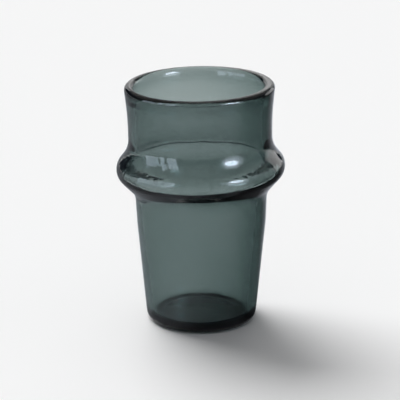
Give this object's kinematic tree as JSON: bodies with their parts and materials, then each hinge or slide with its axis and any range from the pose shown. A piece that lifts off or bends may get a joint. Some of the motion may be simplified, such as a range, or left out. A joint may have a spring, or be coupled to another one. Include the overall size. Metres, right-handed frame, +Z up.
{
  "type": "chai glass",
  "caption": "Free-standing smoke-grey chai glass: a tapered cup, a hollow ring bulge to hold it by and a collar with a thick rounded lip.",
  "frame": {"origin": "middle of the foot, on the table that the glass stands on", "axes": "+Z up along the axis of turning, towards the mouth; X and Y are equal, because the glass is round"},
  "size_m": [0.0618, 0.0618, 0.09],
  "materials": {
    "glass": "smoke grey-green through-coloured soda-lime glass, mould-blown, with a fire-polished lip"
  },
  "bodies": {
    "root": {"glass": "glass"}
  },
  "joints": []
}
